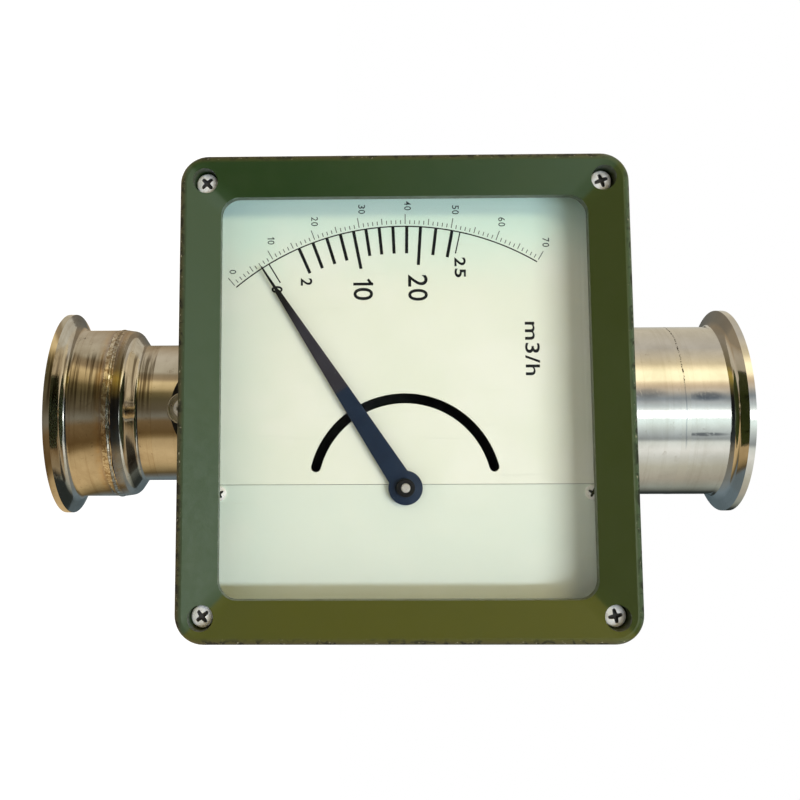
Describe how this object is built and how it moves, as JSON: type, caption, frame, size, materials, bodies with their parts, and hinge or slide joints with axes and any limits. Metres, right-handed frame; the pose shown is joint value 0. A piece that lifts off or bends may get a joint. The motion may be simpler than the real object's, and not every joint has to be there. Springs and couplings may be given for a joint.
{
  "type": "flow meter",
  "caption": "Metal-tube flow meter with clamp ferrules, a float in a widening tube and a square green housing with a pointer dial.",
  "frame": {"origin": "centre of the inlet ferrule's sealing face, on the pipe axis", "axes": "+Z along the pipe in the flow direction, -Y out of the dial, +X to the right when the dial is read"},
  "size_m": [0.1536, 0.2094, 0.3],
  "materials": {
    "stainless": "brushed",
    "weld_metal": "weld bead",
    "bush_plastic": "satin",
    "black_steel": "satin",
    "green_paint": "semi-gloss",
    "seal_rubber": "matte",
    "window_glass": "clear",
    "dial_face": "satin",
    "plain_aluminium": "satin",
    "zinc_steel": "bright",
    "screw_steel": "bright",
    "brass": "turned",
    "magnet_metal": "ground",
    "pointer_paint": "satin"
  },
  "bodies": {
    "meter_body": {"inlet_ferrule": "stainless", "inlet_weld": "weld_metal", "inlet_reducer": "stainless", "metering_tube": "stainless", "outlet_weld": "weld_metal", "outlet_ferrule": "stainless", "lower_guide": "stainless", "lower_bush": "bush_plastic", "lower_retaining_ring": "stainless", "upper_guide": "stainless", "upper_bush": "bush_plastic", "upper_retaining_ring": "stainless", "bracket_bosses": "stainless", "bracket_plate": "black_steel", "bracket_cups": "screw_steel", "bracket_screws": "screw_steel", "housing_base": "green_paint", "base_screws": "zinc_steel", "cover_gasket": "seal_rubber", "cover": "green_paint", "cover_screws": "screw_steel", "window_glass": "window_glass", "window_seal": "seal_rubber", "window_clips": "zinc_steel", "clip_screws": "zinc_steel", "scale_plate": "dial_face", "name_plate": "dial_face", "dial_carrier": "plain_aluminium", "dial_screws": "screw_steel", "dial_pillars": "brass", "movement_plate": "plain_aluminium", "movement_screws": "zinc_steel", "rear_bearing": "brass", "front_bearing": "brass", "brake_magnet": "magnet_metal"},
    "float": {"float_body": "stainless", "float_magnet": "magnet_metal", "float_cap": "stainless", "float_rod": "stainless", "float_stop": "stainless"},
    "pointer_train": {"pointer": "pointer_paint", "pointer_bush": "zinc_steel", "pointer_shaft": "screw_steel", "follower_magnet": "magnet_metal", "magnet_holder": "plain_aluminium", "damping_disc": "plain_aluminium", "counterweight": "brass"}
  },
  "joints": [
    {"name": "float_slide", "type": "slide", "parent": "meter_body", "child": "float", "axis": [0, 0, 1], "range_m": [0, 0.044]},
    {"name": "pointer_turn", "type": "hinge", "parent": "meter_body", "child": "pointer_train", "pos_m": [0.0299, -0.1, 0.15], "axis": [0, 1, 0], "range_deg": [0, 63.9]}
  ],
  "couplings": [
    {"joint": "pointer_turn", "follows": "float_slide", "rad_per_m": 25.327}
  ]
}
